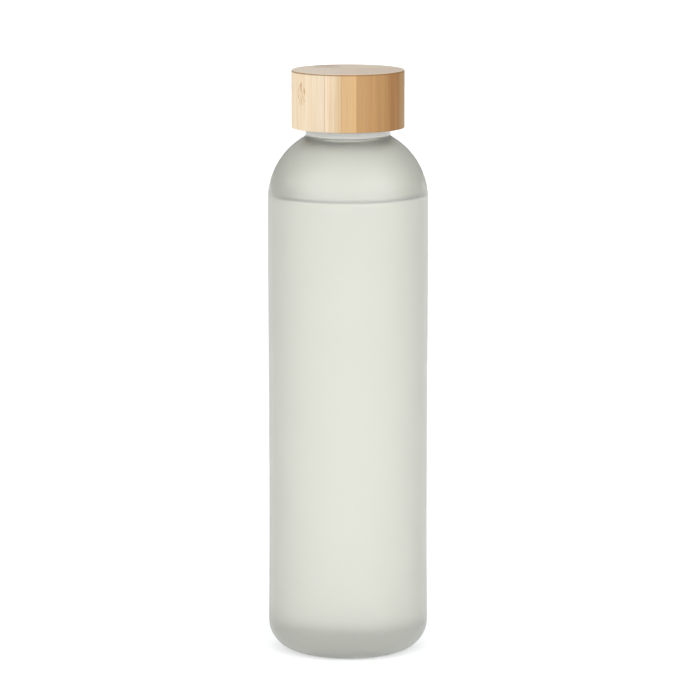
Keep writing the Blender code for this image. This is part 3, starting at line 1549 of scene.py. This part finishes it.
@dataclass
class Studio:
    """A white paper floor, soft light mostly from the front's two sides, and the camera."""

    floor_radius: float = 9.0
    floor_segments: int = 64
    paper: StudioPaper = field(default_factory=StudioPaper)
    camera_place: tuple[float, float, float] = (0.0008, -1.576, 0.383)
    camera_tilt_deg: float = 9.35  # downwards
    lens: float = 201.9  # millimetres, as is the sensor
    sensor: float = 36.0
    sees_to: float = 100.0
    lights: tuple[Softbox, ...] = (
        Softbox("front", (0.0, -1.0, 0.0), 0.5, 40.0, 90.0),
        Softbox("left", (-0.7, -0.75, 0.1), 2.3, 15.0, 55.0),
        Softbox("right", (0.7, -0.75, 0.1), 2.6, 15.0, 55.0),
        Softbox("above", (0.0, 0.1, 1.0), 0.45, 15.0, 60.0),
        Softbox("behind", (0.0, 0.75, 0.65), 0.55, 15.0, 55.0),
    )
    backdrop: float = 1.0  # what the camera sees
    through: float = 0.6  # what shines through glass from beyond the floor
    room: float = 0.08  # the rest, all round

    def build(self) -> None:
        """Set up floor, light and camera."""
        self.lay_floor()
        self.light_world()
        self.add_camera()
        bpy.context.scene.view_settings.view_transform = "Standard"

    def lay_floor(self) -> None:
        """Lay the paper floor."""
        outline = [(self.floor_radius, 0.0), (0.0, 0.0)]
        floor = turned_mesh("studio_floor", outline, self.floor_segments, closed=False)
        dress(floor, (self.paper.material(),))

    def light_world(self) -> None:
        """Light the scene from all round, before a backdrop that looks white."""
        world = bpy.data.worlds.new("white_studio")
        bpy.context.scene.world = world
        world.use_nodes = True
        tree = world.node_tree
        tree.nodes.clear()
        direction = add_node(tree, "ShaderNodeTexCoord").outputs["Generated"]
        path = add_node(tree, "ShaderNodeLightPath")
        lit: Socket | float = self.room
        for light in self.lights:
            lit = add_node(
                tree, "ShaderNodeMath", {0: lit, 1: light.shine(tree, direction)}, operation="ADD"
            ).outputs[0]
        through = add_node(
            tree,
            "ShaderNodeMix",
            {"Factor": path.outputs["Is Transmission Ray"], "A": lit, "B": self.through},
            data_type="FLOAT",
        )
        seen = add_node(
            tree,
            "ShaderNodeMix",
            {
                "Factor": path.outputs["Is Camera Ray"],
                "A": through.outputs["Result"],
                "B": self.backdrop,
            },
            data_type="FLOAT",
        )
        shine = add_node(
            tree,
            "ShaderNodeBackground",
            {"Color": (1.0, 1.0, 1.0, 1.0), "Strength": seen.outputs["Result"]},
        )
        add_node(tree, "ShaderNodeOutputWorld", {"Surface": shine.outputs[0]})

    def add_camera(self) -> None:
        """Set the camera a little above the lid, looking slightly down."""
        lens = bpy.data.cameras.new("camera")
        lens.lens = self.lens
        lens.sensor_width = self.sensor
        lens.clip_end = self.sees_to
        camera = bpy.data.objects.new("camera", lens)
        camera.location = self.camera_place
        camera.rotation_euler = (math.radians(90 - self.camera_tilt_deg), 0.0, 0.0)
        bpy.context.scene.collection.objects.link(camera)
        bpy.context.scene.camera = camera


FRONT_STRIPS = (
    BambooStrip(-9.1 * MM, "#dac8aa", "#beaf98"),
    BambooStrip(-2.5 * MM, "#c8b7a0", "#ab9675"),
    BambooStrip(3.5 * MM, "#ab8d65", "#af8e60"),
    BambooStrip(8.2 * MM, "#967547", "#957145"),
    BambooStrip(16.2 * MM, "#916d3f", "#8e6937"),
    BambooStrip(20.5 * MM, "#7d5424", "#7f5525"),
    # its far tone lightens to olive-grey at the lid's right edge: wood tone plus painted sheen
    BambooStrip(23.0 * MM, "#825d2f", "#8b734a"),
)
BACK_STRIPS = (
    BambooStrip(-18.5 * MM, "#c4ab82", "#bca176"),
    BambooStrip(-13.5 * MM, "#c7b08a", "#c1a982"),
    BambooStrip(-3.0 * MM, "#6f4a30", "#7a5236"),
    BambooStrip(6.4 * MM, "#b6986d", "#ba9d75"),
    BambooStrip(11.9 * MM, "#c4ad89", "#bea47c"),
    BambooStrip(17.6 * MM, "#ab885a", "#a68252"),
    BambooStrip(23.0 * MM, "#ba9d73", "#b6986c"),
)
KNUCKLES = (
    Knuckle((-8.2 * MM, 15.5 * MM, 237.9 * MM), (6.5 * MM, 8.5 * MM, 3.0 * MM)),
    Knuckle((-18.6 * MM, -13.0 * MM, 229.0 * MM), (3.0 * MM, 4.5 * MM, 7.5 * MM)),
    Knuckle((14.0 * MM, 18.0 * MM, 223.0 * MM), (3.4 * MM, 4.5 * MM, 6.5 * MM)),
)


def main() -> None:
    """Build the bottle, its water and its lid, and set up the studio."""
    logging.basicConfig(level=logging.INFO, format="%(name)s: %(message)s")
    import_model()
    glass_low, glass_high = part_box("glass_bottle")
    lid_low, lid_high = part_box("bamboo_lid")
    _, insert_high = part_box("threaded_insert")
    seal_low, seal_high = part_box("sealing_ring")

    thread = thread_tree()
    etched = EtchedGlass()
    smooth = EtchedGlass(name="smooth_glass", roughness=0.04, clear_share=1.0, grain_depth=0.0)
    neck = EtchedGlass(name="neck_glass", clear_share=0.5)  # a denser etch scatters back more
    bottle = GlassBottle(
        glass_high.x, glass_high.z, etched.material(), smooth.material(), neck.material()
    )
    bottle.build(thread, base_grooves_tree())
    WaterFill(bottle, Water().material()).build()
    bamboo = LaminatedBamboo(lid_high.z, lid_high.x, FRONT_STRIPS, BACK_STRIPS, KNUCKLES).material()
    BambooLid(lid_high.x, lid_low.z, lid_high.z, bamboo).build()
    plastic = MouldedPolypropylene().material()
    ThreadedInsert(glass_high.z, insert_high.z, plastic).build(thread, ring_of_ribs_tree())
    SealingWasher(seal_low, seal_high, MattSilicone().material()).build(swept_ring_tree())
    Studio().build()


if __name__ == "__main__":
    main()
